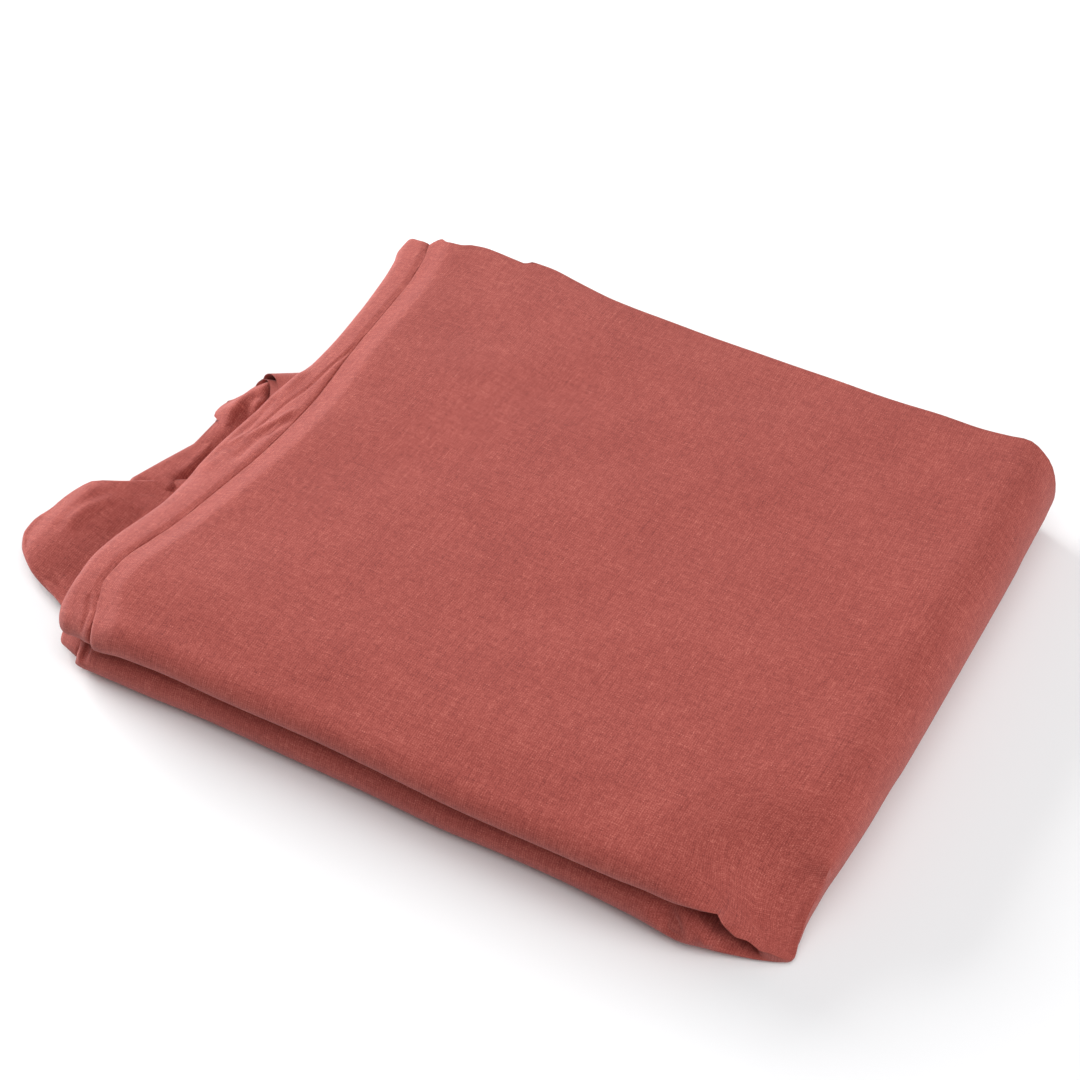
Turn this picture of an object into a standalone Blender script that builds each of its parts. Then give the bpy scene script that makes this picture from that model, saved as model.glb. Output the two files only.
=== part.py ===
"""A length of turban cloth, folded into a flat pack and lying on a table.

The cloth is one continuous sheet. It is laid to and fro in four walls, doubled
about a line along the front, and doubled again about a line along the right
side, the spine. So the pack is an upper and a lower bundle of eight walls each,
which meet at the spine and are open at the back and on the left. Each wall
stands for four plies of thin cotton pressed together.

Metres, +Z up. The origin is under the middle of the pack, on the table.
"""

from collections import namedtuple
from math import cos, hypot, pi, sin

import bmesh
import bpy

# Driving sizes of the pack
PACK_LENGTH = 0.342  # from the outer left roll to the spine
PACK_DEPTH = 0.284  # from the front roll to the back edge

# The wall of cloth, and the air left between the folds
WALLS = 4  # walls laid to and fro before the pack is doubled
WALL = 0.0020  # thickness of one wall, which is four plies
WALL_GAP = 0.0005  # air between one wall and the next
FRONT_GAP = 0.0006  # air inside the fold along the front
BUNDLE_GAP = 0.0016  # air between the upper and the lower bundle

# The left side, where the walls turn back in rolls or end
ROLL_STEP = 0.016  # how far the outer roll stands out past the inner one
ROLL_SWING = 0.009  # how far the outer roll strays from a straight line
RAW_END_STEP = 0.007  # how far the cut ends stay back from the outer roll
FLAP_REACH = 0.060  # how far the loose flap runs out past the outer roll
FLAP_DROP = 0.009  # how far the flap's free edge comes down to the table
SHOULDER_WIDTH = 0.045  # the strip along the left side where the pack rounds off
SHOULDER_DROP = 0.004  # how far the top comes down across that strip

# The other sides
SPINE_SWING = 0.005  # how far the spine draws in towards the front corner
FRONT_SWING = 0.008  # how far the front roll stands out at its left end
BACK_SWING = 0.007  # how far the back edge stands out at its ends
BACK_STAGGER = 0.003  # how far one wall's back edge stays behind another's

# The front right corner, which is drawn in and pressed flat, and the dent beside it
CORNER_REACH = 0.050  # how far the pressed corner reaches in from its tip
CORNER_HEIGHT = 0.008  # the pack's height at the tip
CORNER_DRAW = 0.007  # how far the front of the tip is drawn back
DENT_WIDTH = 0.016  # half the width of the dent in the upper bundle's front roll
DENT_DEPTH = 0.006  # how far the dent goes in
DENT_PLACE = 0.036  # from the spine's outer side to the middle of the dent

# How finely the folds are divided
SPINE_STEPS = 7
FRONT_STEPS = 6
ROLL_STEPS = 4

# What follows from the sizes above
PITCH = WALL + WALL_GAP
FRONT_RADIUS = FRONT_GAP / 2 + WALLS * PITCH  # from the front fold's axis to its outer face
SPINE_MIDDLE = BUNDLE_GAP / 2 + FRONT_RADIUS  # from the spine's axis to a bundle's middle
SPINE_RADIUS = SPINE_MIDDLE + FRONT_RADIUS  # from the spine's axis to its outer face
RUN_LENGTH = PACK_LENGTH - SPINE_RADIUS - PITCH  # from the spine's axis to the outer roll
RUN_DEPTH = PACK_DEPTH - FRONT_RADIUS  # from the front fold's axis to the back edge

# Slices along a run, from the spine's axis (place 0) to the left.
# place: a share of RUN_LENGTH, which all walls have in common.
# tail: from there on, a share of the way to the wall's own end.
# upper, lower: how far that bundle's front roll stands out, as a share of FRONT_SWING.
# back: how far the back edge stands out, as a share of BACK_SWING.
Slice = namedtuple("Slice", "place tail upper lower back")
SLICES = (
    Slice(0.00, 0.0, 0.3, 0.0, 0.9),
    Slice(0.06, 0.0, 0.3, 0.2, 0.7),
    Slice(0.10, 0.0, 0.3, 0.3, 0.5),
    Slice(0.17, 0.0, 0.3, 0.0, 0.3),
    Slice(0.45, 0.0, 0.4, 0.3, -0.2),
    Slice(0.73, 0.0, 0.5, 0.6, 0.5),
    Slice(0.88, 0.0, 0.6, 0.9, 0.8),
    Slice(0.88, 0.5, 0.7, 1.1, 0.4),
    Slice(0.88, 1.0, 0.7, 1.0, 0.0),
)

# Sections across the pack, from the front fold's axis (place 0) to the back edge (place 1).
# inner: how far the inner roll is drawn in, as a share of ROLL_STEP.
# outer: how far the outer roll stands out, as a share of ROLL_SWING.
# flap: how far the loose flap runs out, as a share of FLAP_REACH.
# spine: how far the spine draws in, as a share of SPINE_SWING.
Section = namedtuple("Section", "place inner outer flap spine")
SECTIONS = (
    Section(0.00, 0.85, 1.0, 0.08, 1.1),
    Section(0.05, 0.50, 1.0, 0.48, 1.1),
    Section(0.10, 0.50, 0.8, 0.98, 1.0),
    Section(0.17, 0.60, 0.4, 1.07, 0.8),
    Section(0.24, 0.80, 0.1, 1.09, 0.6),
    Section(0.29, 0.90, 0.0, 0.84, 0.5),
    Section(0.42, 1.05, 0.0, 0.56, 0.3),
    Section(0.60, 1.05, -0.4, 0.48, 0.2),
    Section(0.65, 1.05, -0.4, 0.46, 0.1),
    Section(0.70, 1.00, -0.4, 0.05, 0.0),
    Section(0.85, 0.80, 0.1, 0.00, 0.0),
    Section(1.00, 0.40, 1.0, 0.00, 0.6),
)

# How far each wall's back edge stays behind, as shares of BACK_STAGGER, outermost wall first
BACK_EDGES = (0.0, 0.7, 0.2, 1.0)

CLOTH_COLOUR = (0.446, 0.103, 0.085, 1.0)
CLOTH_ROUGHNESS = 0.9

# A stop along the cloth: its slice, the angle turned round the spine, the wall, and the angle
# turned round a roll.
Stop = namedtuple("Stop", "slice turn wall curl")

# A stop across the cloth: its section, and the angle turned round the front fold.
Across = namedtuple("Across", "section turn")


def clear_scene():
    for obj in list(bpy.data.objects):
        bpy.data.objects.remove(obj, do_unlink=True)


def eased(share):
    """A share held between 0 and 1, with a smooth start and finish."""
    held = min(max(share, 0.0), 1.0)
    return held * held * (3 - 2 * held)


def stops_along():
    """The stops along the whole cloth, from its cut end under the pack to the one inside it."""
    bends = [pi * step / SPINE_STEPS for step in range(1, SPINE_STEPS)]
    found = []
    for wall in range(WALLS):
        way = [Stop(cut, pi, wall, 0.0) for cut in reversed(SLICES)]
        way += [Stop(SLICES[0], turn, wall, 0.0) for turn in reversed(bends)]
        way += [Stop(cut, 0.0, wall, 0.0) for cut in SLICES]
        if wall % 2:
            way.reverse()
        found += way
        if wall < WALLS - 1:
            end = way[-1]
            found += [end._replace(curl=pi * step / ROLL_STEPS) for step in range(1, ROLL_STEPS)]
    return found


def stops_across():
    """The stops across the cloth, from one back edge round the front fold to the other."""
    bends = [pi * step / FRONT_STEPS for step in range(1, FRONT_STEPS)]
    found = [Across(section, 0.0) for section in reversed(SECTIONS)]
    found += [Across(SECTIONS[0], turn) for turn in bends]
    found += [Across(section, pi) for section in SECTIONS]
    return found


def wall_end(wall, lower, across):
    """How far a wall runs from the spine's axis to the middle of its roll, or to its cut end."""
    section = across.section
    if not lower and wall in (0, 1):
        return RUN_LENGTH - ROLL_STEP * section.inner
    if not lower:
        return RUN_LENGTH + ROLL_SWING * section.outer
    if wall in (0, WALLS - 1):
        return RUN_LENGTH - RAW_END_STEP
    loose = section if across.turn == pi else SECTIONS[0]
    return RUN_LENGTH + FLAP_REACH * loose.flap


def folded(distance, turn, radius):
    """The place along and above a fold's axis of a layer that lies distance from it at that radius."""
    return radius * sin(turn) - distance, radius * cos(turn)


def drawn(x, y, stop, across):
    """The same point with the pack's outline as it lies: the four sides stray from straight
    lines, and the front of the right corner is drawn back."""
    section, cut = across.section, stop.slice
    spine = SPINE_SWING * section.spine * eased(1 + x / CORNER_REACH)
    below = eased(stop.turn / pi)
    front = FRONT_SWING * (cut.upper + below * (cut.lower - cut.upper)) * (1 - section.place)
    back = (BACK_SWING * cut.back - BACK_STAGGER * BACK_EDGES[stop.wall]) * eased(section.place)
    tip = eased(1 + (x - SPINE_RADIUS) / CORNER_REACH) * eased(1 - y / CORNER_REACH)
    return x - spine, y - front + back + CORNER_DRAW * tip


def dented(x, y, z):
    """The same point after the dent in the upper bundle's front roll, near the corner."""
    along = abs(x - (SPINE_RADIUS - DENT_PLACE)) / DENT_WIDTH
    up = (z - SPINE_RADIUS) / FRONT_RADIUS
    share = eased(1 - along) * eased(1 + up) * eased(2 - up) * eased(-y / FRONT_RADIUS)
    return x, y + DENT_DEPTH * share, z


def settled(x, y, z):
    """The same point after the pack has settled: its left side rounds off, its flap hangs, and
    its front right corner is pressed down."""
    height = 2 * SPINE_RADIUS
    shoulder = eased(1 - (x + RUN_LENGTH) / SHOULDER_WIDTH)
    corner = hypot(min(x - SPINE_RADIUS, 0.0), y + FRONT_RADIUS)
    pressed = eased(1 - corner / CORNER_REACH)
    share = (1 - shoulder * SHOULDER_DROP / height) * (1 - pressed * (1 - CORNER_HEIGHT / height))
    drop = FLAP_DROP * eased(-(x + RUN_LENGTH) / FLAP_REACH)
    return x, y, z * share - drop


def cloth_point(stop, across, face):
    """The point on one face of the cloth, 1 or -1, at a stop along and a stop across it."""
    outward = face if stop.wall % 2 == 0 else -face
    if stop.curl:
        curl_radius = PITCH / 2 + outward * WALL / 2
        depth = (stop.wall + 1) * PITCH - curl_radius * cos(stop.curl)
        curl_out = curl_radius * sin(stop.curl)
    else:
        depth = (stop.wall + 0.5) * PITCH - outward * WALL / 2
        curl_out = 0.0
    shared = RUN_LENGTH * stop.slice.place
    tail = wall_end(stop.wall, stop.turn == pi, across) - shared
    distance = shared + stop.slice.tail * tail + curl_out
    behind = RUN_DEPTH * across.section.place
    forward, height = folded(behind, across.turn, FRONT_RADIUS - depth)
    x, z = folded(distance, stop.turn, SPINE_MIDDLE + height)
    x, y = drawn(x, -forward, stop, across)
    return settled(*dented(x, y, z + SPINE_RADIUS))


def cloth_mesh(along, across):
    """The closed mesh of the cloth: two faces joined by a rim."""
    mesh = bmesh.new()
    faces = [
        [[mesh.verts.new(cloth_point(stop, row, face)) for row in across] for stop in along]
        for face in (1, -1)
    ]
    outer, inner = faces
    for i in range(len(along) - 1):
        for j in range(len(across) - 1):
            mesh.faces.new((outer[i][j], outer[i][j + 1], outer[i + 1][j + 1], outer[i + 1][j]))
            mesh.faces.new((inner[i][j], inner[i + 1][j], inner[i + 1][j + 1], inner[i][j + 1]))
    ring = [(i, 0) for i in range(len(along))]
    ring += [(len(along) - 1, j) for j in range(1, len(across))]
    ring += [(i, len(across) - 1) for i in range(len(along) - 2, -1, -1)]
    ring += [(0, j) for j in range(len(across) - 2, 0, -1)]
    for (a, b), (c, d) in zip(ring, ring[1:] + ring[:1]):
        mesh.faces.new((outer[a][b], outer[c][d], inner[c][d], inner[a][b]))
    bmesh.ops.recalc_face_normals(mesh, faces=mesh.faces)
    return mesh


def set_on_table(mesh):
    """Moves the mesh so that the middle of its underside is at the origin."""
    xs, ys, zs = zip(*(vert.co for vert in mesh.verts))
    middle = ((min(xs) + max(xs)) / 2, (min(ys) + max(ys)) / 2, min(zs))
    bmesh.ops.translate(mesh, verts=mesh.verts, vec=[-value for value in middle])


def cloth_material():
    material = bpy.data.materials.new("dusty_rose_voile")
    material.use_nodes = True
    shader = material.node_tree.nodes["Principled BSDF"]
    shader.inputs["Base Color"].default_value = CLOTH_COLOUR
    shader.inputs["Roughness"].default_value = CLOTH_ROUGHNESS
    shader.inputs["Metallic"].default_value = 0.0
    return material


def make_turban_cloth():
    mesh = cloth_mesh(stops_along(), stops_across())
    set_on_table(mesh)
    data = bpy.data.meshes.new("turban_cloth")
    mesh.to_mesh(data)
    mesh.free()
    data.shade_smooth()
    data.set_sharp_from_angle(angle=pi / 4)
    data.materials.append(cloth_material())
    cloth = bpy.data.objects.new("turban_cloth", data)
    bpy.context.scene.collection.objects.link(cloth)
    return cloth


clear_scene()
make_turban_cloth()
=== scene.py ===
from collections import namedtuple
from math import cos, pi, radians, sin

import bpy
import numpy as np
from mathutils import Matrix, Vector


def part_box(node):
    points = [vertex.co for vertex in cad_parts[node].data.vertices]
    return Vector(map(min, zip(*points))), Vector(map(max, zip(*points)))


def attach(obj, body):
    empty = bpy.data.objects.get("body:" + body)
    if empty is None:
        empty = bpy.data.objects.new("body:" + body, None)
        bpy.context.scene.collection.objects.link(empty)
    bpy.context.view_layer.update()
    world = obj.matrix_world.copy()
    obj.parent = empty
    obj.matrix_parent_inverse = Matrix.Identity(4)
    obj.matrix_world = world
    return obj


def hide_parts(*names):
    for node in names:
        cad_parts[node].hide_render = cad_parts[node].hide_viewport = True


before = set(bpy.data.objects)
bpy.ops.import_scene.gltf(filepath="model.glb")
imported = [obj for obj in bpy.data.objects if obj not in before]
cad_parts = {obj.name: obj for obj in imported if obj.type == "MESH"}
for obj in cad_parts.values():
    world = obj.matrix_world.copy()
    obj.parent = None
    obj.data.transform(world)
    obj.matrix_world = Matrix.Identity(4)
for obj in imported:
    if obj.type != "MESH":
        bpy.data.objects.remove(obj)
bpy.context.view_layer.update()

low, high = (Vector(corner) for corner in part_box("turban_cloth"))
MM = 0.001

# The table: a sweep of plain white paper that the pack lies on. It reaches far past the pack
# on every side, so that no edge of it shows.
PAPER_WIDTH = 6.0
PAPER_GAP = 0.0002  # the paper lies this far below the cloth
PAPER_COLOUR = (0.90, 0.90, 0.90, 1.0)
PAPER_ROUGHNESS = 0.9
PAPER_SHINE = 0.1

paper_mesh = bpy.data.meshes.new("paper")
half = PAPER_WIDTH / 2
paper_mesh.from_pydata(
    [(-half, -half, 0), (half, -half, 0), (half, half, 0), (-half, half, 0)], [], [(0, 1, 2, 3)]
)
paper = bpy.data.objects.new("paper", paper_mesh)
paper.location.z = -PAPER_GAP
bpy.context.scene.collection.objects.link(paper)
paper_finish = bpy.data.materials.new("white_paper")
paper_finish.use_nodes = True
paper_shader = paper_finish.node_tree.nodes["Principled BSDF"]
paper_shader.inputs["Base Color"].default_value = PAPER_COLOUR
paper_shader.inputs["Roughness"].default_value = PAPER_ROUGHNESS
paper_shader.inputs["Specular IOR Level"].default_value = PAPER_SHINE
paper_mesh.materials.append(paper_finish)

# The light: wide soft boxes and the even white glow of the studio's walls, which fills the
# shadows. The strongest box stands low at the left; the others hang overhead and at the right.
GLOW_COLOUR = (0.95, 0.96, 1.0, 1.0)
GLOW_STRENGTH = 0.30
SoftBox = namedtuple("SoftBox", "name place width strength")
SOFT_BOXES = (
    SoftBox("left_box", (-1.80, 0.40, 0.60), 1.2, 60.0),
    SoftBox("top_box", (0.15, -0.30, 2.00), 1.8, 17.0),
    SoftBox("right_box", (1.70, 0.00, 0.95), 1.2, 19.5),
)

studio = bpy.data.worlds.new("studio")
studio.use_nodes = True
glow = studio.node_tree.nodes["Background"]
glow.inputs["Color"].default_value = GLOW_COLOUR
glow.inputs["Strength"].default_value = GLOW_STRENGTH
bpy.context.scene.world = studio
for box in SOFT_BOXES:
    light = bpy.data.lights.new(box.name, "AREA")
    light.shape = "SQUARE"
    light.size = box.width
    light.energy = box.strength
    lamp = bpy.data.objects.new(box.name, light)
    lamp.location = box.place
    lamp.rotation_mode = "QUATERNION"
    lamp.rotation_quaternion = (-Vector(box.place)).to_track_quat("-Z", "Y")
    bpy.context.scene.collection.objects.link(lamp)
bpy.context.scene.view_settings.view_transform = "Standard"

# The camera: a lens of 65 mm that looks down on the pack from the front right. It stands near,
# so that the far edges of the pack draw together.
CAMERA_LENS = 65.0
CAMERA_SENSOR = 36.0
CAMERA_AZIMUTH = radians(30.0)
CAMERA_ELEVATION = radians(46.5)
CAMERA_DISTANCE = 0.900
CAMERA_LOOKS_AT = Vector((2.2 * MM, 20.1 * MM, 0.0))

camera_back = Vector((
    sin(CAMERA_AZIMUTH) * cos(CAMERA_ELEVATION),
    -cos(CAMERA_AZIMUTH) * cos(CAMERA_ELEVATION),
    sin(CAMERA_ELEVATION),
))
camera_data = bpy.data.cameras.new("camera")
camera_data.lens = CAMERA_LENS
camera_data.sensor_width = CAMERA_SENSOR
camera = bpy.data.objects.new("camera", camera_data)
camera.location = CAMERA_LOOKS_AT + CAMERA_DISTANCE * camera_back
camera.rotation_mode = "QUATERNION"
camera.rotation_quaternion = (-camera_back).to_track_quat("-Z", "Y")
bpy.context.scene.collection.objects.link(camera)
bpy.context.scene.camera = camera

# The turban cloth: one length of thin cotton voile, doubled across its width and doubled along
# its length, laid to and fro in four walls, then doubled about the front and about the spine.
# It is made here as the two halves of its length, one inside the other, of two plies each.
PLY = 0.38 * MM  # thickness of one ply with its nap
PLY_PITCH = 0.625 * MM  # from one ply to the next
PLIES_IN_WALL = 4
WALLS = 4
FRONT_GAP = 0.6 * MM  # air inside the fold along the front
BUNDLE_GAP = 1.6 * MM  # air between the upper and the lower bundle
RUN_SHARED = 280 * MM  # from the spine's axis to where the rolls begin to differ
RUN_DEPTH = 273.7 * MM  # from the front fold's axis to the back edges
FRONT_ROLL_STANDS_OUT = 8.8 * MM  # the front roll's left end, past the fold's straight line
NOSE_FULLNESS = 1.25  # how much longer than round the nose of a roll is
PRESS = 0.42  # how much thinner the first roll is at its end, with the second risen under it
PRESS_OVER = 16 * MM  # the press comes on over this much of the run, and of the depth
PRESS_FROM = -146 * MM  # the Y at the front fold, where the rolls aren't pressed
PRESS_TURN = 0.3  # the press and the swell end over this much of the turn at the spine
SWELL_FROM = 1.2 * MM  # the second roll swells from this far inside the end of the first
SWELL_OVER = 2.2 * MM
CORNER_SQUARE = 0.5  # how much squarer than round the front fold is at the spine
CORNER_ALONG = 40 * MM  # how far from the spine that reaches
CORNER_BEHIND = 25 * MM  # and how far behind the front fold
DRAWN_IN_OVER = 50 * MM  # how far from the spine its outline moves the plies
FLAT_RUN = RUN_SHARED + 50 * MM  # what a run takes up of the flat cloth
FIRST_END = 130 * MM  # a first guess of how far left of the middle the runs end
ROUNDS = 3  # of finding a point's place, because the outline is read at that place

WALL_PITCH = PLIES_IN_WALL * PLY_PITCH
FRONT_RADIUS = FRONT_GAP / 2 + WALLS * WALL_PITCH
SPINE_MIDDLE = BUNDLE_GAP / 2 + FRONT_RADIUS
SPINE_RADIUS = SPINE_MIDDLE + FRONT_RADIUS
SPINE_X = high.x - SPINE_RADIUS
FRONT_Y = low.y + FRONT_RADIUS + FRONT_ROLL_STANDS_OUT
LOWER_TOP = SPINE_RADIUS - BUNDLE_GAP / 2
UPPER_BOTTOM = SPINE_RADIUS + BUNDLE_GAP / 2
PACK_TOP = 2 * SPINE_RADIUS

# A fold is a soft ridge, or a valley where its height is less than nothing, along a line of
# (X, Y) points. All of it is in millimetres.
Fold = namedtuple("Fold", "line width height")


def risen_at(folds, x, y):
    """How far the folds raise the cloth at each point."""
    total = np.zeros_like(x)
    for fold in folds:
        nearest = np.full(x.shape, np.inf)
        for (ax, ay), (bx, by) in zip(fold.line, fold.line[1:]):
            ax, ay, bx, by = ax * MM, ay * MM, bx * MM, by * MM
            length = (bx - ax) ** 2 + (by - ay) ** 2
            t = np.clip(((x - ax) * (bx - ax) + (y - ay) * (by - ay)) / length, 0, 1)
            away = np.hypot(x - ax - t * (bx - ax), y - ay - t * (by - ay))
            nearest = np.minimum(nearest, away)
        total = total + fold.height * MM * np.exp(-(nearest / (fold.width * MM)) ** 2)
    return total


# The outline, as (place, how far) in millimetres. Places run along X for the front and back
# edges and along Y for the others; the rolls' rows give the X where each one ends. The cut ends
# are at the left of the lower bundle.
UPPER_FRONT = (
    (-160, 7.2), (-140, 7.4), (-134, 7.6), (-128, 8.2), (-122, 9.4), (-114, 9.4), (-105, 8.6), (-95, 8.0),
    (-82, 7.2), (-62, 6.9), (-43, 6.3), (-20, 5.2), (-3, 4.7), (50, 5.0), (104, 3.2), (130, 2.0),
    (140, 1.0), (152, 0.3), (158, -0.9), (161, -1.8), (163.6, -2.5), (165.3, -3.5), (166.9, -4.3),
    (168.6, -5.2), (170.3, -5.7), (173.3, -5.7), (176.5, -6.6), (181, -8.2), (185.5, -8.6),
    (188, -10.6), (191.6, -12.0), (198, -14.4), (203, -17.0),
)
LOWER_FRONT = (
    (-165, 1.0), (-148, 3.6), (-138, 6.5), (-128, 8.6), (-110, 8.3), (-92, 7.6), (-75, 6.4), (-57, 5.5),
    (-22, 4.5), (0, 3.9), (15, 3.5), (45, 3.5), (77, 1.6), (108, 0.6), (135, 0.9), (154, 1.9),
    (168, -2.2), (183, -8.2), (192, -12.2), (203, -17.0),
)
TOP_BACK = (
    (-140, -6.0), (-132.5, -4.0), (-130, -1.1), (-127, 0.6), (-122, -1.6), (-115, -1.0),
    (-109, 1.8), (-100, 3.2), (-79.2, 2.3), (-76, 5.3), (-67, 5.7), (-46, 2.4), (-26, -0.6),
    (-10, -1.2), (15, -0.8), (52, -0.4), (89, 0.4), (112, 0.1), (125, 0.6), (143, 2.0), (160, 2.6),
    (175, 4.8), (185, 7.0), (194, 5.0), (203, 3.0),
)
UNDER_BACK = (
    (-170, -1.0), (-150, -0.8), (-144, -1.2), (-138, -2.4), (-130, -3.0), (-121, -3.2), (-114, -1.0),
    (-105, 1.8), (-90, 1.2), (-40, -1.0), (20, -2.0), (90, -1.0), (150, 2.0), (190, 1.0), (203, -1.0),
)
TOP_BACK_OVER = 0.9  # over this much of the turn at the spine, the top ply's edge joins the others
SPINE_DRAWN_IN = (
    (-128, -0.4), (-124, 2.2), (-118, 5.8), (-110, 6.8), (-99, 6.1), (-83, 3.5), (-63, 2.0),
    (-44, 1.6), (-30, 0.9), (-5, 0.5), (15, 0.3), (38, 0.1), (81, -0.2), (92, -0.2), (105, 0.2),
    (129, 0.3), (142, 0.8), (154, 1.0),
)
FIRST_ROLL_END = (
    (-150, -119.4), (-146, -120.8), (-138, -124.0), (-131, -128.3), (-123, -131.6), (-112, -131.4),
    (-95, -127.8), (-80, -124.4), (-49, -120.0), (-24, -117.0), (-8, -116.4), (12, -116.8), (30, -118.4),
    (50, -120.9), (97, -124.7), (110, -125.9), (125, -128.8), (136, -131.6), (144, -135.0),
)
SECOND_ROLL_END = (
    (-150, -139.6), (-146, -141.4), (-140, -144.2), (-134, -146.5), (-124, -147.2), (-111, -149.0),
    (-97, -149.0), (-86, -147.2), (-76, -145.2), (-67, -143.8), (-47, -143.4), (-30, -143.4),
    (-15, -142.6), (0, -141.6), (12, -140.8), (24, -139.8), (33, -138.8), (46, -137.4),
    (58, -137.0), (84, -138.8), (104, -141.8), (116, -143.8), (128, -146.5), (136, -149.4),
    (144, -148.6),
)
FLAP_END = (
    (-150, -143.6), (-146, -145.6), (-138, -148.6), (-130, -152.0), (-125, -163.0),
    (-121, -175.0), (-113, -189.6), (-105, -199.0), (-97, -203.6), (-90, -204.4), (-81, -202.4),
    (-72, -201.0), (-65.8, -198.8), (-60.8, -195.2), (-57.6, -189.4), (-54.0, -182.4),
    (-49.0, -176.0), (-43.0, -168.0), (-37.0, -160.4), (-31, -152.8), (-25, -144.0),
    (-19, -139.0), (144, -141.0),
)
STRIP_END = (
    (-146, -138.0), (-138, -141.5), (-110, -148.0), (-80, -166.0), (-60, -180.0), (-47, -181.0),
    (-34, -176.0), (-18, -169.4), (-4, -168.0), (1, -168.0), (4, -173.6), (12, -174.6),
    (20, -170.4), (26, -166.6), (31, -158.8), (40, -141.0), (144, -141.0),
)
RAW_END = ((-146, -132.0), (-138, -134.4), (-128, -134.4), (-116, -132.0))

# The heights that the pack has settled to, in millimetres: down from level beside each edge,
# and up from the paper beside the pressed corner.
CORNER_TIP = (198 * MM, -126 * MM)
LEAST_THICK = 1.5 * MM  # of the upper bundle, where it is pressed
TOP_AT_CORNER = ((0, 3.5), (10, 8.5), (19, 15.5), (28, 26), (36, 34), (48, 40.6), (62, 42.8))
GAP_TOP_AT_CORNER = (
    (0, 1.6), (3, 3.0), (6.4, 4.8), (10.1, 6.9), (12.5, 9.0), (16.9, 12.0), (21.5, 14.6),
    (24.7, 16.4), (26.6, 18.0), (27.9, 20.2), (29.3, 25.2), (31, 25.6), (33, 25.4), (36, 24.6),
    (48, 22.2),
)
GAP_FLOOR_AT_CORNER = (
    (0, 0.9), (6, 1.8), (13, 3.6), (19, 6), (26, 9), (33, 13.5), (44, 18.5), (58, 20.6),
)
FIRST_ROLL_SHOULDER = (
    (-20, -12.0), (-16, -9.6), (-12, -7.8), (-8, -6.4), (-4, -5.3), (-2, -4.9), (0, -5.0),
    (2, -4.7), (6, -3.2), (10, -1.5), (12, -0.75), (14, -0.25), (18, 0.0),
)
FRONT_SHOULDER = (
    (0, -4.4), (6, -4.0), (10, -3.3), (14, -2.5), (19, -1.6), (25, -0.8), (32, -0.25), (42, 0.0),
)
LEFT_SAG = (
    (-150, -9.4), (-138, -8.4), (-128, -6.2), (-118, -3.6), (-105, -1.6), (-90, -0.6), (-70, 0.0),
)  # of the gap, along X

TOP_FOLDS = (
    Fold(((171.4, -136), (172.6, -131), (175, -125.5)), 2.4, -2.0),
    Fold(((175, -125.5), (181, -120.5)), 2.6, -2.0),
    Fold(((175, -136), (180, -129), (184, -122)), 3.6, 1.6),
    Fold(((-139.0, -40), (-140.0, -16), (-139.5, 6), (-137.5, 28)), 6.5, 2.0),
    Fold(((-139.0, 12), (-138.0, 27)), 6.0, 1.4),
    Fold(((-121.2, 54), (-123.4, 38), (-124.5, 21), (-128.1, 9), (-130.0, -8), (-132.6, -20)), 0.9, -0.7),
    Fold(((-121.3, 2.5), (-124.2, -5.8), (-130.5, -15.6), (-136.4, -25)), 2.0, 1.0),
    Fold(((-118.6, -2), (-122.6, -12), (-125.2, -20), (-126.4, -32)), 2.8, -1.1),
    Fold(((-134.6, -14), (-135.4, 2), (-135.0, 16)), 0.9, -0.5),
    Fold(((-125.6, -146), (-127.0, -140), (-131.6, -132)), 0.9, -1.0),
)

# The plies under the hollows make room for them.
ROOM_WIDER = 12.0  # in millimetres
ROOM_DEEPER = 1.5  # times
ROOM_FOLDS = tuple(
    Fold(fold.line, fold.width + ROOM_WIDER, ROOM_DEEPER * fold.height)
    for fold in TOP_FOLDS
    if fold.height < 0
)

# Pleats that bulge from the front or sink into it, as folds along lines of (X, height). Those of
# the lower bundle end above the paper.
LOWER_PLEATS = (
    Fold(((161, 19), (164, 14), (168, 9)), 2.0, 3.2),
    Fold(((168, 22), (171, 14), (176, 7)), 3.6, -8.0),
    Fold(((146, 21), (150, 15), (153, 11)), 4.0, -5.0),
    Fold(((-128, 17), (-127.5, 12)), 1.6, -3.6),
    Fold(((-133, 16), (-132, 8)), 1.4, -1.2),
)
UPPER_PLEATS = (Fold(((176, 14), (179, 20)), 3.0, 1.2),)
PLEATS_FROM = 4 * MM  # the height where those of the lower bundle end
PLEATS_OVER = 5 * MM
PLEATS_BEHIND = 14 * MM  # how far behind the front fold they reach

# Long low waves of the top, as the lengths of a wave along X and along Y, where it starts and
# how high it is. The lengths and the height are in millimetres.
Ripple = namedtuple("Ripple", "wave_x wave_y phase height")
RIPPLES = (
    Ripple(210, 95, 0.4, 0.30),
    Ripple(-130, 160, 2.1, 0.22),
    Ripple(64, -118, 4.0, 0.10),
    Ripple(-88, 52, 1.2, 0.09),
    Ripple(47, 61, 5.3, 0.06),
)


def smooth_line(rows, at):
    """A smooth line through (place, value) rows in millimetres, read at places in metres. It
    has no hump or dip between rows."""
    place, value = (np.array(column, float) * MM for column in zip(*rows))
    gap = np.diff(place)
    rise = np.diff(value) / gap
    before, after = rise[:-1], rise[1:]
    same_way = before * after > 0
    slope = np.concatenate([rise[:1], np.zeros(len(rise) - 1), rise[-1:]])
    slope[1:-1][same_way] = (2 * before * after)[same_way] / (before + after)[same_way]
    at = np.clip(at, place[0], place[-1])
    i = np.clip(np.searchsorted(place, at, side="right") - 1, 0, len(gap) - 1)
    t = (at - place[i]) / gap[i]
    ends = value[i] + (3 - 2 * t) * t * t * (value[i + 1] - value[i])
    return ends + gap[i] * t * (1 - t) * ((1 - t) * slope[i] - t * slope[i + 1])


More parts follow.
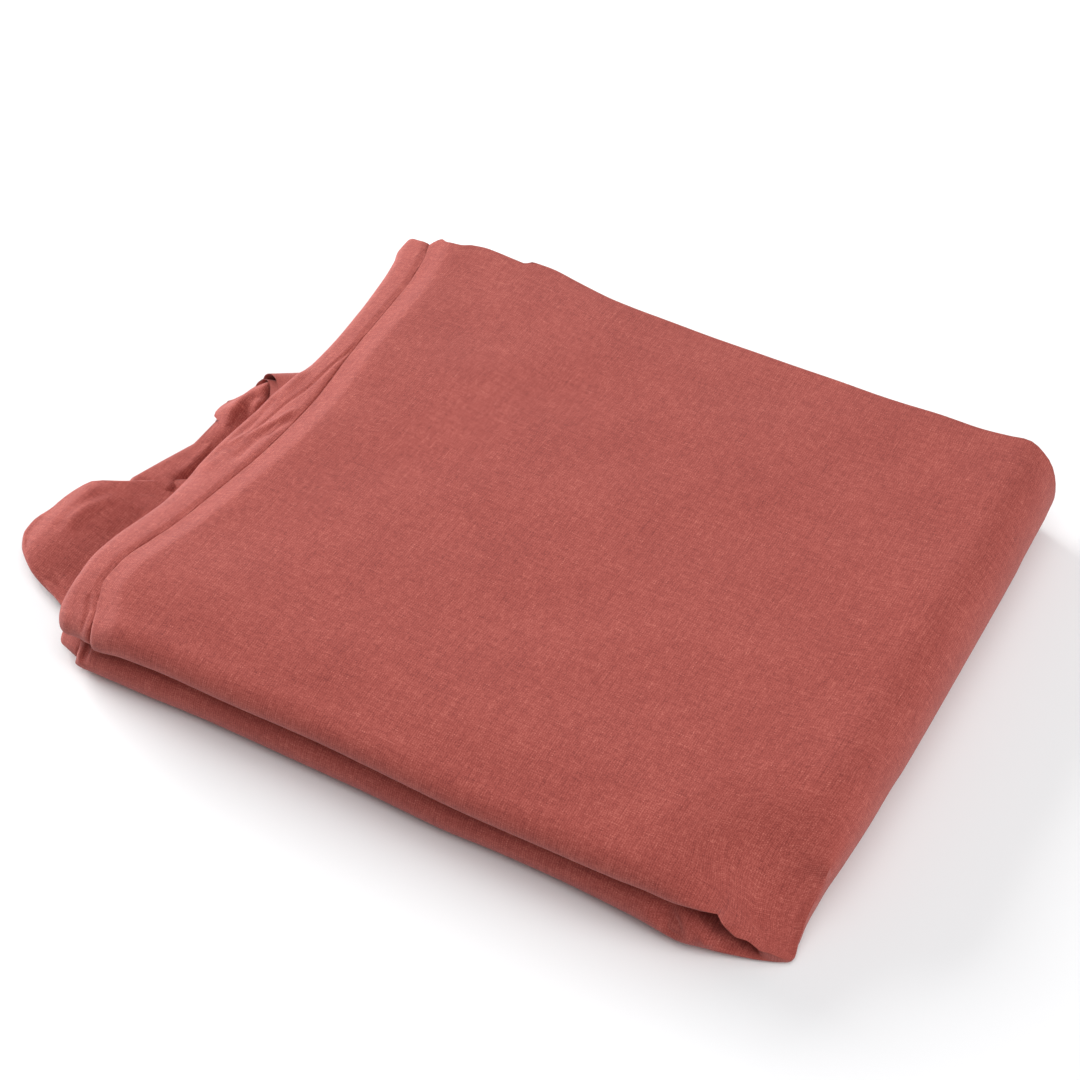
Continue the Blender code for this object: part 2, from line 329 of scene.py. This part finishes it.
def eased(share):
    """A share held between 0 and 1, with a smooth start and finish."""
    held = np.clip(share, 0.0, 1.0)
    return held * held * (3 - 2 * held)


# A row of the weave's grid runs across the cloth at one stop along it: in which wall, how far
# round the spine, how far out from it, what share of the tail past the shared run, and how far
# round the nose of a roll. A line runs along the cloth at one stop across it: in which of two
# plies, how far behind the front fold, how far round it, and how far round the loop that joins
# the plies at the back. The key rows and lines are in every ply; the others only divide the
# stretches that show.
Row = namedtuple("Row", "wall turn run tail curl key")
Line = namedtuple("Line", "odd behind front loop key")

# Stretches of a run: from, to, in metres, how many steps, and how many parts in a fine step.
RUN_STRETCHES = (
    (0.0, 0.0117, 1, 7), (0.0117, 0.0134, 1, 1), (0.0134, 0.060, 5, 5), (0.060, 0.252, 13, 4),
    (0.252, RUN_SHARED, 3, 6),
)
TAIL_STRETCH = (0.0, 1.0, 9, 5)
DEPTH_STRETCHES = ((0.0, 0.036, 5, 5), (0.036, 0.260, 14, 6), (0.260, RUN_DEPTH, 3, 3))
SPINE_STEPS = (6, 3)
FRONT_STEPS = (6, 3)
CURL_STEPS = (4, 3)
LOOP_STEPS = (3, 1)


def steps_over(start, stop, steps, parts):
    """(place, whether it is a key one) from start to stop, without start."""
    count = steps * parts
    return [(start + (stop - start) * i / count, i % parts == 0) for i in range(1, count + 1)]


def wall_rows(wall):
    """The rows of one wall, from its end in the lower bundle to its end in the upper one."""
    shared = [(0.0, True)]
    for stretch in RUN_STRETCHES:
        shared += steps_over(*stretch)
    tail = steps_over(*TAIL_STRETCH)
    upper = [Row(wall, 0.0, run, 0.0, 0.0, key) for run, key in shared]
    upper += [Row(wall, 0.0, RUN_SHARED, share, 0.0, key) for share, key in tail]
    lower = [row._replace(turn=pi) for row in reversed(upper)]
    bend = [Row(wall, pi - turn, 0.0, 0.0, 0.0, key) for turn, key in steps_over(0.0, pi, *SPINE_STEPS)]
    return lower + bend[:-1] + upper


def all_rows():
    """The rows of the whole cloth, from its cut end under the pack to the one inside it."""
    found = []
    for wall in range(WALLS):
        way = wall_rows(wall)
        found += way if wall % 2 == 0 else way[::-1]
        if wall < WALLS - 1:
            end = found[-1]
            curls = steps_over(0.0, pi, *CURL_STEPS)[:-1]
            found += [end._replace(curl=curl, key=key) for curl, key in curls]
    return found


def all_lines():
    """The lines of two plies joined at one back edge, from selvedge to selvedge."""
    depth = [(0.0, True)]
    for stretch in DEPTH_STRETCHES:
        depth += steps_over(*stretch)
    bend = steps_over(0.0, pi, *FRONT_STEPS)[:-1]
    ply = [Line(0, behind, 0.0, 0.0, key) for behind, key in reversed(depth)]
    ply += [Line(0, 0.0, front, 0.0, key) for front, key in bend]
    ply += [Line(0, behind, pi, 0.0, key) for behind, key in depth]
    loop = [ply[-1]._replace(loop=turn, key=key) for turn, key in steps_over(0.0, pi, *LOOP_STEPS)[:-1]]
    other = [line._replace(odd=1, loop=pi) for line in reversed(ply)]
    return ply + loop + other


rows, lines = all_rows(), all_lines()
row = Row(*(np.array(column)[:, None] for column in zip(*rows)))
line = Line(*(np.array(column)[None, :] for column in zip(*lines)))


def run_ends(y, lower, swell):
    """How far each point's run reaches from the spine's axis, before the nose of its roll."""
    first = smooth_line(FIRST_ROLL_END, y)
    second = smooth_line(SECOND_ROLL_END, y)
    flap = smooth_line(FLAP_END, y)
    strip = smooth_line(STRIP_END, y)
    loose = np.where(line.front > pi / 2, flap, strip)
    inner_walls = (row.wall == 1) | (row.wall == 2)
    upper_end = np.where(row.wall < 2, first, second)
    lower_end = np.where(inner_walls, loose, smooth_line(RAW_END, y))
    nose = np.where(lower & ~inner_walls, 0.0, NOSE_FULLNESS * (1 + swell) * WALL_PITCH)
    return SPINE_X - np.where(lower, lower_end, upper_end) - nose


def folded_points(pair, face):
    """The points of one face of a pair of plies, as folded, with the pack's outline. Also
    gives each point's place on the flat cloth."""
    side = PLY_PITCH / 2 + face * PLY / 2
    level = (2 * pair + 1) * PLY_PITCH - side * np.cos(line.loop)
    behind = line.behind + side * np.sin(line.loop)
    even = row.wall % 2 == 0
    bend = np.where(even, WALL_PITCH - level, level)
    second_roll = (row.wall >= 2) & (row.turn < pi / 2)
    straight = row.wall * WALL_PITCH + np.where(even, level, WALL_PITCH - level)
    curled = (row.wall + 1) * WALL_PITCH - bend * np.cos(row.curl)
    tight_depth = np.where(row.curl > 0, curled, straight)
    lower = row.turn > pi / 2
    below = eased(row.turn / pi)
    share = line.behind / RUN_DEPTH
    near_front = eased(1 - line.behind / CORNER_BEHIND)
    x, y, press, swell = SPINE_X - row.run, FRONT_Y + line.behind, 0.0, 0.0
    top_ply = (row.wall == 0) & (pair == 0)
    as_top = top_ply * eased((pi / 2 - row.turn) / TOP_BACK_OVER) * eased(1 - row.curl / pi)
    end = row.run + row.tail * (SPINE_X + FIRST_END - row.run)
    for _ in range(ROUNDS):
        nose = bend * NOSE_FULLNESS * np.where(second_roll, 1 + swell, 1.0) * np.sin(row.curl)
        along = row.run + row.tail * (end - row.run) + nose
        swollen = WALLS * WALL_PITCH - (WALLS * WALL_PITCH - tight_depth) * (1 + swell)
        depth = np.where(second_roll, swollen, tight_depth * (1 - press))
        radius = FRONT_RADIUS - depth
        square = 1 - CORNER_SQUARE * eased(1 + (x - SPINE_X) / CORNER_ALONG) * near_front
        round_front = np.sign(np.cos(line.front)) * np.abs(np.cos(line.front)) ** square
        x = SPINE_X + (SPINE_MIDDLE + radius * round_front) * np.sin(row.turn) - along
        past_first = smooth_line(FIRST_ROLL_END, y) - x
        upper = eased((pi / 2 - row.turn) / PRESS_TURN)
        away = eased((y - PRESS_FROM) / PRESS_OVER)
        press = upper * PRESS * away * eased(1 + past_first / PRESS_OVER)
        swell = press + upper * (1 - PRESS) * eased((past_first + SWELL_FROM) / SWELL_OVER)
        upper_front, lower_front = smooth_line(UPPER_FRONT, x), smooth_line(LOWER_FRONT, x)
        out = upper_front + below * (lower_front - upper_front)
        under_back = smooth_line(UNDER_BACK, x)
        back = under_back + as_top * (smooth_line(TOP_BACK, x) - under_back)
        y = FRONT_Y + behind - radius * np.sin(line.front) - out * (1 - share) + back * eased(share)
        end = run_ends(y, lower, np.where(second_roll, swell, 0.0))
    z = SPINE_RADIUS + (SPINE_MIDDLE + radius * np.cos(line.front)) * np.cos(row.turn)
    drawn = smooth_line(SPINE_DRAWN_IN, y) * eased(1 + (x - SPINE_X) / DRAWN_IN_OVER)
    from_spine = along + SPINE_RADIUS * (pi / 2 - np.abs(row.turn - pi / 2))
    flat_along = row.wall * 2 * FLAT_RUN + np.where(lower, -from_spine, from_spine)
    flat_across = line.behind * np.where(line.front > 0, 1, -1) + FRONT_RADIUS * line.front
    flat_across = flat_across + line.odd * 2 * RUN_DEPTH
    flat = np.stack(np.broadcast_arrays(flat_along, flat_across), -1)
    return x - drawn, y, z, flat


def settled(x, y, z, seen):
    """The height of points after the pack has settled under its own weight. seen tells which
    points are on the plies that show."""
    from_tip = np.hypot(np.minimum(x - CORNER_TIP[0], 0), np.minimum(0, CORNER_TIP[1] - y))
    top = smooth_line(TOP_AT_CORNER, from_tip)
    gap_top = smooth_line(GAP_TOP_AT_CORNER, from_tip)
    gap_floor = smooth_line(GAP_FLOOR_AT_CORNER, from_tip)
    sag = smooth_line(LEFT_SAG, x)
    gap_top, gap_floor = gap_top + sag, gap_floor + sag
    top = top + smooth_line(FIRST_ROLL_SHOULDER, x - smooth_line(FIRST_ROLL_END, y))
    top = top + smooth_line(FRONT_SHOULDER, y - (FRONT_Y - FRONT_RADIUS)) * top / PACK_TOP
    for ripple in RIPPLES:
        wave = 2 * pi * (x / ripple.wave_x + y / ripple.wave_y) / MM + ripple.phase
        top = top + ripple.height * MM * np.sin(wave) * top / PACK_TOP
    top = top + np.where(seen, risen_at(TOP_FOLDS, x, y), risen_at(ROOM_FOLDS, x, y))
    low_share = np.clip(z / LOWER_TOP, 0, 1)
    gap_share = np.clip((z - LOWER_TOP) / BUNDLE_GAP, 0, 1)
    top_share = (z - UPPER_BOTTOM) / (PACK_TOP - UPPER_BOTTOM)
    top = np.maximum(top, gap_top + LEAST_THICK)
    risen = gap_floor * low_share + (gap_top - gap_floor) * gap_share
    return risen + (top - gap_top) * np.maximum(top_share, 0)


# The loose folds at the left of the lower bundle: the flap above and the strip below it, as
# (X, height) of the middle of each, in millimetres.
LOOSE_FROM = -136 * MM  # the X where they leave the bundle
LOOSE_OVER = 16 * MM
LOOSE_THIN = 0.62  # how thin they are pressed
FLAP_HEIGHT = (
    (-206, 4.2), (-198, 7.0), (-191, 9.6), (-185, 10.2), (-175, 9.3), (-165, 8.0), (-155, 7.2),
    (-146, 7.6), (-136, 8.4),
)
STRIP_HEIGHT = (
    (-188, 6.4), (-180, 7.6), (-174, 8.2), (-168, 8.5), (-163, 8.8), (-160.4, 9.4), (-158, 8.2),
    (-155, 4.6), (-151, 2.6), (-136, 2.4),
)
STRIP_FOLDS = (
    Fold(((-148, 27), (-148, 16)), 8.5, 15.6),
    Fold(((-143, 15), (-146, 8), (-149, 1)), 6.0, 8.0),
    Fold(((-163, 8), (-160, 18), (-156, 27)), 7.0, 6.4),
    Fold(((-156, 1), (-155, 10)), 6.0, 3.6),
    Fold(((-154, 21), (-151, 27)), 3.5, 3.0),
    Fold(((-158, -38), (-151, -31)), 3.4, -3.6),
)
STRIP_UNDER = 3.4 * MM  # how far the middle of the strip lies below the flap's, in front
STRIP_UNDER_FROM = -44 * MM  # the Y where it comes out from under the flap
STRIP_UNDER_OVER = 8 * MM
STRIP_LOWEST = 1.8 * MM
FLAP_FRONT_DROOP = ((-130, -3.5), (-115, -2.5), (-95, -0.6), (-70, 0.0))
FLAP_FOLDS = (
    Fold(((-190, -66), (-188, -74), (-186, -84)), 6.0, 1.2),
    Fold(((-160, -64), (-162, -80)), 8.0, -1.2),
    Fold(((-187.5, -92), (-188.6, -80), (-184.3, -67)), 2.2, -0.8),
    Fold(((-183.4, -86), (-182.6, -76), (-178, -66)), 2.6, 0.7),
    Fold(((-200.5, -78), (-201.0, -90), (-199.0, -100), (-194.0, -107)), 0.9, -0.9),
)


def hung(x, y, level, z):
    """The height of a point of the loose folds after they have dropped to the paper, from its
    level in the stack and its height in the settled pack."""
    middle = SPINE_RADIUS - SPINE_MIDDLE - (FRONT_RADIUS - 2 * WALL_PITCH) * np.cos(line.front)
    flap = smooth_line(FLAP_HEIGHT, x) + smooth_line(FLAP_FRONT_DROOP, y)
    flap = flap + risen_at(FLAP_FOLDS, x, y)
    strip = smooth_line(STRIP_HEIGHT, x) + risen_at(STRIP_FOLDS, x, y)
    strip, flap = np.maximum(strip, STRIP_LOWEST), np.maximum(flap, STRIP_LOWEST + STRIP_UNDER)
    covered = eased((STRIP_UNDER_FROM - y) / STRIP_UNDER_OVER)
    strip = strip + covered * (np.minimum(strip, flap - STRIP_UNDER) - strip)
    form = strip + (flap - strip) * eased(line.front / pi)
    free = eased((LOOSE_FROM - x) / LOOSE_OVER)
    loose = (row.turn > pi / 2) & ((row.wall == 1) | (row.wall == 2))
    return np.where(loose, z + free * (form + (level - middle) * LOOSE_THIN - z), z)


def cloth_points(pair, face):
    """The points of one face of a pair of plies, as the pack lies, and each point's place on
    the flat cloth."""
    x, y, z, flat = folded_points(pair, face)
    seen = (row.wall % 2 == 0) & (line.odd == 0) & (pair == 0)
    z = hung(x, y, z, settled(x, y, z, seen))
    low_pleats = risen_at(LOWER_PLEATS, x, z) * eased((z - PLEATS_FROM) / PLEATS_OVER)
    pleats = np.where(row.turn > pi / 2, low_pleats, risen_at(UPPER_PLEATS, x, z))
    y = y - eased(1 - line.behind / PLEATS_BEHIND) * pleats
    return np.stack([x, y, z], -1), flat


def key_stops(stops):
    """The numbers of the key ones among rows or lines."""
    return [i for i, stop in enumerate(stops) if stop.key]


# A block is the cloth between two key rows, a and b, and two key lines, c and d.
key_rows, key_lines = key_stops(rows), key_stops(lines)
blocks = [
    (a, b, c, d)
    for a, b in zip(key_rows, key_rows[1:])
    for c, d in zip(key_lines, key_lines[1:])
]
ROLLS_SHOW_FROM = 0.25  # the share of a tail where the second roll comes into sight
UNDER_SHOWS_TO = 30 * MM  # how far behind the front fold the underside is finely divided


def shows(pair, first_row, first_line):
    """Whether the block that starts at a row and a line can be seen on the outer face, and so
    is finely divided."""
    wall, turn, tail = first_row.wall, first_row.turn, first_row.tail
    if pair == 0 and not first_line.odd and first_line.front < pi:
        if wall == 0:
            return turn < pi or first_line.behind < UNDER_SHOWS_TO
        return wall in (2, 3) and turn < pi / 2 and tail > ROLLS_SHOW_FROM
    flap = wall == 1 and first_line.front > pi / 2
    strip = wall == 2 and first_line.front < pi / 2
    return pair == 1 and first_line.odd and (flap or strip) and turn > pi / 2 and tail > 0


# Two single plies stand loose at the left, arched over the back of the lower fold. Each is given
# by the (X, Y, Z) of its free edge and of the line where it goes into the second roll.
LooseWrap = namedtuple("LooseWrap", "edge root")
LOOSE_WRAPS = (
    LooseWrap(
        ((-158.2, 22.0, 16.0), (-158.8, 24.0, 20.0), (-157.2, 26.8, 22.4), (-152.4, 25.6, 25.0),
         (-148.9, 22.9, 24.2), (-146.7, 18.9, 21.8), (-145.6, 15.6, 18.0)),
        ((-144.0, 33.0, 17.0), (-143.5, 33.0, 21.0), (-140.0, 31.0, 25.0), (-137.0, 28.0, 28.0),
         (-135.0, 24.0, 28.5), (-133.0, 17.0, 28.0), (-132.0, 12.0, 27.0)),
    ),
    LooseWrap(
        ((-156.4, 26.3, 22.0), (-154.8, 26.9, 26.0), (-151.2, 26.6, 29.0), (-147.2, 25.0, 30.0),
         (-143.8, 22.4, 29.0), (-141.6, 19.8, 27.0), (-139.6, 16.0, 23.0)),
        ((-137.0, 36.0, 21.0), (-136.6, 35.6, 26.0), (-135.6, 34.4, 30.6), (-133.4, 31.0, 32.6),
         (-131.0, 25.0, 33.0), (-130.0, 16.0, 32.5), (-129.0, 12.0, 31.0)),
    ),
)
WRAP_STEPS = (40, 24)
WRAP_LONG = 40 * MM  # what a ply takes up of the flat cloth, along its free edge
WRAP_DEEP = 50 * MM  # and from that edge to the roll


def along_points(points, shares):
    """Points at even shares of a smooth curve through the given ones, in metres."""
    place = np.linspace(0, 1, len(points)) / MM
    return np.stack([smooth_line(zip(place, column), shares) for column in zip(*points)], -1)


def wrap_sheet(wrap):
    """Points, places on the flat cloth and faces of one loose ply, closed round its rim."""
    count, depth = WRAP_STEPS
    shares = np.linspace(0, 1, count + 1)
    edge, root = along_points(wrap.edge, shares), along_points(wrap.root, shares)
    inward = np.linspace(0, 1, depth + 1)[:, None, None]
    middle = edge + (root - edge) * inward
    across = np.gradient(middle, axis=1)
    lengthwise = np.gradient(middle, axis=0)
    normal = np.cross(lengthwise, across)
    normal /= np.linalg.norm(normal, axis=-1, keepdims=True)
    flat = np.stack(np.broadcast_arrays(WRAP_DEEP * inward[..., 0], WRAP_LONG * shares), -1)
    points = np.concatenate([(middle + f * normal * PLY / 2).reshape(-1, 3) for f in (1, -1)])
    flats = np.concatenate([flat.reshape(-1, 2)] * 2)
    number = np.arange(len(points)).reshape(2, depth + 1, count + 1)
    faces = []
    for side, way in ((0, 1), (1, -1)):
        n = number[side]
        for i in range(depth):
            for j in range(count):
                faces.append([n[i, j], n[i + 1, j], n[i + 1, j + 1], n[i, j + 1]][::way])
    rings = [np.concatenate([n[0, :-1], n[:-1, -1], n[-1, :0:-1], n[:0:-1, 0]]) for n in number]
    for i in range(len(rings[0])):
        j = (i + 1) % len(rings[0])
        faces.append([rings[0][i], rings[0][j], rings[1][j], rings[1][i]])
    return points, flats, faces


def block_faces(number, block, fine):
    """The faces of a block, from the numbers of its points: small squares where it is finely
    divided, else one face through every point round it."""
    a, b, c, d = block
    if fine:
        grid = number[a:b + 1, c:d + 1]
        corners = (grid[:-1, :-1], grid[:-1, 1:], grid[1:, 1:], grid[1:, :-1])
        return np.stack(corners, -1).reshape(-1, 4).tolist()
    ring = np.concatenate([number[a, c:d], number[a:b, d], number[b, d:c:-1], number[b:a:-1, c]])
    return [ring[ring >= 0].tolist()]


def rim_faces(outer, inner):
    """The faces that join the outer and the inner face of a piece along its four edges."""
    sides = [(n[0, :], n[:, -1], n[-1, ::-1], n[::-1, 0]) for n in (outer, inner)]
    faces = []
    for outer_side, inner_side in zip(*sides):
        keys = np.flatnonzero(inner_side >= 0)
        for a, b in zip(keys, keys[1:]):
            back = outer_side[a:b + 1][::-1]
            faces.append([*back[back >= 0].tolist(), int(inner_side[a]), int(inner_side[b])])
    return faces


CREASE_ANGLE = radians(50)  # a bend sharper than this shades as a crease


def cloth_piece(name, pair, wraps=()):
    """The closed mesh of one pair of plies: two faces and the rim that joins them."""
    points, flats, faces, numbers = [], [], [], []
    for face in (1, -1):
        fine = {block for block in blocks if face == 1 and shows(pair, rows[block[0]], lines[block[2]])}
        there = np.zeros((len(rows), len(lines)), bool)
        there[np.ix_(key_rows, key_lines)] = True
        for a, b, c, d in fine:
            there[a:b + 1, c:d + 1] = True
        spots, flat = cloth_points(pair, face)
        number = np.full(there.shape, -1)
        number[there] = len(points) + np.arange(there.sum())
        points.extend(spots[there].tolist())
        flats.extend(flat[there].tolist())
        for block in blocks:
            faces.extend(loop[::face] for loop in block_faces(number, block, block in fine))
        numbers.append(number)
    faces.extend(rim_faces(*numbers))
    for wrap in wraps:
        more_points, more_flats, more_faces = wrap_sheet(wrap)
        faces.extend([len(points) + n for n in face] for face in more_faces)
        points.extend(more_points.tolist())
        flats.extend(more_flats.tolist())
    mesh = bpy.data.meshes.new(name)
    mesh.from_pydata(points, [], faces)
    mesh.validate()
    flat_layer = mesh.attributes.new("flat_cloth", "FLOAT2", "POINT")
    flat_layer.data.foreach_set("vector", np.array(flats, np.float32).ravel())
    mesh.shade_smooth()
    mesh.set_sharp_from_angle(angle=CREASE_ANGLE)
    piece = bpy.data.objects.new(name, mesh)
    bpy.context.scene.collection.objects.link(piece)
    return piece


outer_length = cloth_piece("turban_cloth_outer", 0)
inner_length = cloth_piece("turban_cloth_inner", 1, LOOSE_WRAPS)

# The voile: a plain weave of fine cotton yarn, piece-dyed dusty rose. The yarn is uneven, with
# thicker pale slubs, and the surface has a soft nap.
THREAD_PITCH = 0.50 * MM
THREAD_ROUND = 0.9  # how much of its round top a thread shows
THREAD_DIP = 0.4  # how far a thread goes down on either side of its crown
THREAD_WANDER = 0.35  # how far a thread strays from its line, in pitches
WANDER_ALONG = 0.05  # how fast that changes along a thread, next to 1 across the threads
YARN_ALONG = 0.06  # how fast the yarn's thickness changes, per pitch
YARN_ACROSS = 1.7
STREAK_ALONG = 0.012  # how fast the streaks of many threads change, per pitch
STREAK_ACROSS = 0.55
SLUB_FROM = 0.66  # the thickness where the yarn begins to be a slub
SLUB_FULL = 0.80

BASE_COLOUR = (0.363, 0.0675, 0.0520, 1.0)
DEEP_COLOUR = (0.190, 0.0320, 0.0270, 1.0)
PALE_COLOUR = (0.550, 0.1600, 0.1230, 1.0)
# How far each thing moves the colour, from -0.5, the deep one, to 0.5, the pale one. The first two are
# painted light: painted shade in the gaps between the threads and a painted highlight on their crowns.
PAINTED_GAP_SHADOW = -0.40
PAINTED_CROWN_HIGHLIGHT = 0.16
YARN_SHADE = 1.3
PAIR_SHADE = 0.20
GRAIN_SHADE = 0.90
STREAK_SHADE = 0.20
MOTTLE_SHADE = 0.24
CAST_SHADE = 0.20
SLUB_SHADE = 0.5

SLUB_HEIGHT = 0.7  # next to 1 for a thread
NAP_HEIGHT = 0.5
THREAD_HEIGHT = 0.12 * MM
BUMP_STRENGTH = 0.5
GAP_ROUGHNESS = 1.0
CROWN_ROUGHNESS = 0.82
SHINE = 0.25
SHEEN = 0.14
SHEEN_ROUGHNESS = 0.5

voile = bpy.data.materials.new("dusty_rose_voile")
voile.use_nodes = True
weave = voile.node_tree


def node(kind, inputs=(), **settings):
    """A node of the weave, with its inputs linked to other nodes' outputs or set."""
    made = weave.nodes.new(kind)
    for name, value in settings.items():
        setattr(made, name, value)
    for socket, value in dict(inputs).items():
        if isinstance(value, bpy.types.NodeSocket):
            weave.links.new(value, made.inputs[socket])
        else:
            made.inputs[socket].default_value = value
    return made


def sums(operation, *values):
    """The output of a math node."""
    return node("ShaderNodeMath", enumerate(values), operation=operation).outputs[0]


def times(value, by):
    """A value multiplied."""
    return sums("MULTIPLY", value, by)


def swing(value, by):
    """A value that moves about a half, made to move about nothing and multiplied."""
    return times(sums("SUBTRACT", value, 0.5), by)


def place_of(x, y, layer):
    """Where to read soft random values. Each use has a layer of its own, so that no two are
    alike."""
    return node("ShaderNodeCombineXYZ", {"X": x, "Y": y, "Z": layer}).outputs[0]


def clouds(place, scale, detail=2.0, rough=0.5):
    """Soft random values around a half."""
    settings = {"Vector": place, "Scale": scale, "Detail": detail, "Roughness": rough}
    return node("ShaderNodeTexNoise", settings).outputs["Fac"]


def between(value, low_end, high_end, low_out, high_out):
    """A value moved from one range to another and held there."""
    settings = {"Value": value, "From Min": low_end, "From Max": high_end, "To Min": low_out,
                "To Max": high_out}
    return node("ShaderNodeMapRange", settings, clamp=True).outputs[0]


# u and v count the threads along and across the flat cloth, each with its wander. The two offs
# are the places across one thread, from -0.5 to 0.5.
flat_place = node("ShaderNodeAttribute", attribute_name="flat_cloth").outputs["Vector"]
flat_parts = node("ShaderNodeSeparateXYZ", {0: flat_place}).outputs
along_pitches = sums("DIVIDE", flat_parts["X"], THREAD_PITCH)
across_pitches = sums("DIVIDE", flat_parts["Y"], THREAD_PITCH)
warp_place = place_of(times(along_pitches, WANDER_ALONG), across_pitches, 3.0)
weft_place = place_of(along_pitches, times(across_pitches, WANDER_ALONG), 7.0)
warp_wander = clouds(warp_place, scale=0.6, detail=1.0)
weft_wander = clouds(weft_place, scale=0.6, detail=1.0)
u = sums("ADD", along_pitches, swing(weft_wander, 2 * THREAD_WANDER))
v = sums("ADD", across_pitches, swing(warp_wander, 2 * THREAD_WANDER))
u_thread, v_thread = sums("FLOOR", u), sums("FLOOR", v)
u_off = sums("SUBTRACT", sums("FRACT", u), 0.5)
v_off = sums("SUBTRACT", sums("FRACT", v), 0.5)
over = sums("PINGPONG", sums("ADD", u_thread, v_thread), 1.0)
over_weft = sums("GREATER_THAN", over, 0.5)


def crown(across, lengthwise):
    """How high the upper thread of a crossing stands, from 0 at its side to 1."""
    round_side = sums("COSINE", times(across, THREAD_ROUND * pi))
    dip = times(sums("POWER", times(lengthwise, 2.0), 2.0), THREAD_DIP)
    return times(round_side, sums("SUBTRACT", 1.0, dip))


def chosen(first, second):
    """first where the warp is over the weft, second where the weft is over the warp."""
    return node("ShaderNodeMix", {0: over_weft, 2: first, 3: second}).outputs[0]


relief = chosen(crown(v_off, u_off), crown(u_off, v_off))
warp_yarn_place = place_of(times(u, YARN_ALONG), times(v_thread, YARN_ACROSS), 11.0)
weft_yarn_place = place_of(times(u_thread, YARN_ACROSS), times(v, YARN_ALONG), 17.0)
warp_yarn = clouds(warp_yarn_place, scale=1.0, detail=3.0, rough=0.7)
weft_yarn = clouds(weft_yarn_place, scale=1.0, detail=3.0, rough=0.7)
yarn = chosen(warp_yarn, weft_yarn)
slub = between(yarn, SLUB_FROM, SLUB_FULL, 0.0, 1.0)
every_other = sums("PINGPONG", u, 1.0)
streak_warp = clouds(place_of(times(u, STREAK_ALONG), times(v, STREAK_ACROSS), 23.0), scale=1.0)
streak_weft = clouds(place_of(times(u, STREAK_ACROSS), times(v, STREAK_ALONG), 29.0), scale=1.0)
grain = clouds(place_of(along_pitches, across_pitches, 13.0), scale=0.8, rough=0.65)
mottle = clouds(place_of(along_pitches, across_pitches, 5.0), scale=0.17, detail=3.0, rough=0.6)
cast = clouds(place_of(along_pitches, across_pitches, 1.0), scale=0.012)

# The tone starts with painted shade in the gaps between the threads and a painted highlight on their
# crowns; the yarn's own changes of colour are added to it.
tone = between(relief, 0.0, 1.0, PAINTED_GAP_SHADOW, PAINTED_CROWN_HIGHLIGHT)
for change in (
    swing(yarn, YARN_SHADE),
    swing(every_other, PAIR_SHADE),
    swing(grain, GRAIN_SHADE),
    swing(streak_warp, STREAK_SHADE),
    swing(streak_weft, STREAK_SHADE),
    swing(mottle, MOTTLE_SHADE),
    swing(cast, CAST_SHADE),
    times(slub, SLUB_SHADE),
):
    tone = sums("ADD", tone, change)
# The colour of the dyed yarn, with the painted shade and painted highlight of the weave's relief in it.
dye_and_painted_shade = node("ShaderNodeValToRGB", {0: sums("ADD", tone, 0.5)})
dye_and_painted_shade.color_ramp.elements[0].color = DEEP_COLOUR
dye_and_painted_shade.color_ramp.elements[1].color = PALE_COLOUR
dye_and_painted_shade.color_ramp.elements.new(0.5).color = BASE_COLOUR
nap = clouds(place_of(u, v, 9.0), scale=2.3)
thread_top = sums("ADD", relief, times(slub, SLUB_HEIGHT))
surface = sums("ADD", thread_top, times(nap, NAP_HEIGHT))
bump = node("ShaderNodeBump", {"Height": surface, "Strength": BUMP_STRENGTH, "Distance": THREAD_HEIGHT})
roughness = between(relief, 0.0, 1.0, GAP_ROUGHNESS, CROWN_ROUGHNESS)
voile_shader = weave.nodes["Principled BSDF"]
weave.links.new(dye_and_painted_shade.outputs[0], voile_shader.inputs["Base Color"])
weave.links.new(roughness, voile_shader.inputs["Roughness"])
weave.links.new(bump.outputs[0], voile_shader.inputs["Normal"])
voile_shader.inputs["Specular IOR Level"].default_value = SHINE
voile_shader.inputs["Sheen Weight"].default_value = SHEEN
voile_shader.inputs["Sheen Roughness"].default_value = SHEEN_ROUGHNESS

for piece in (outer_length, inner_length):
    piece.data.materials.append(voile)
    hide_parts("turban_cloth")
    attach(piece, "root")
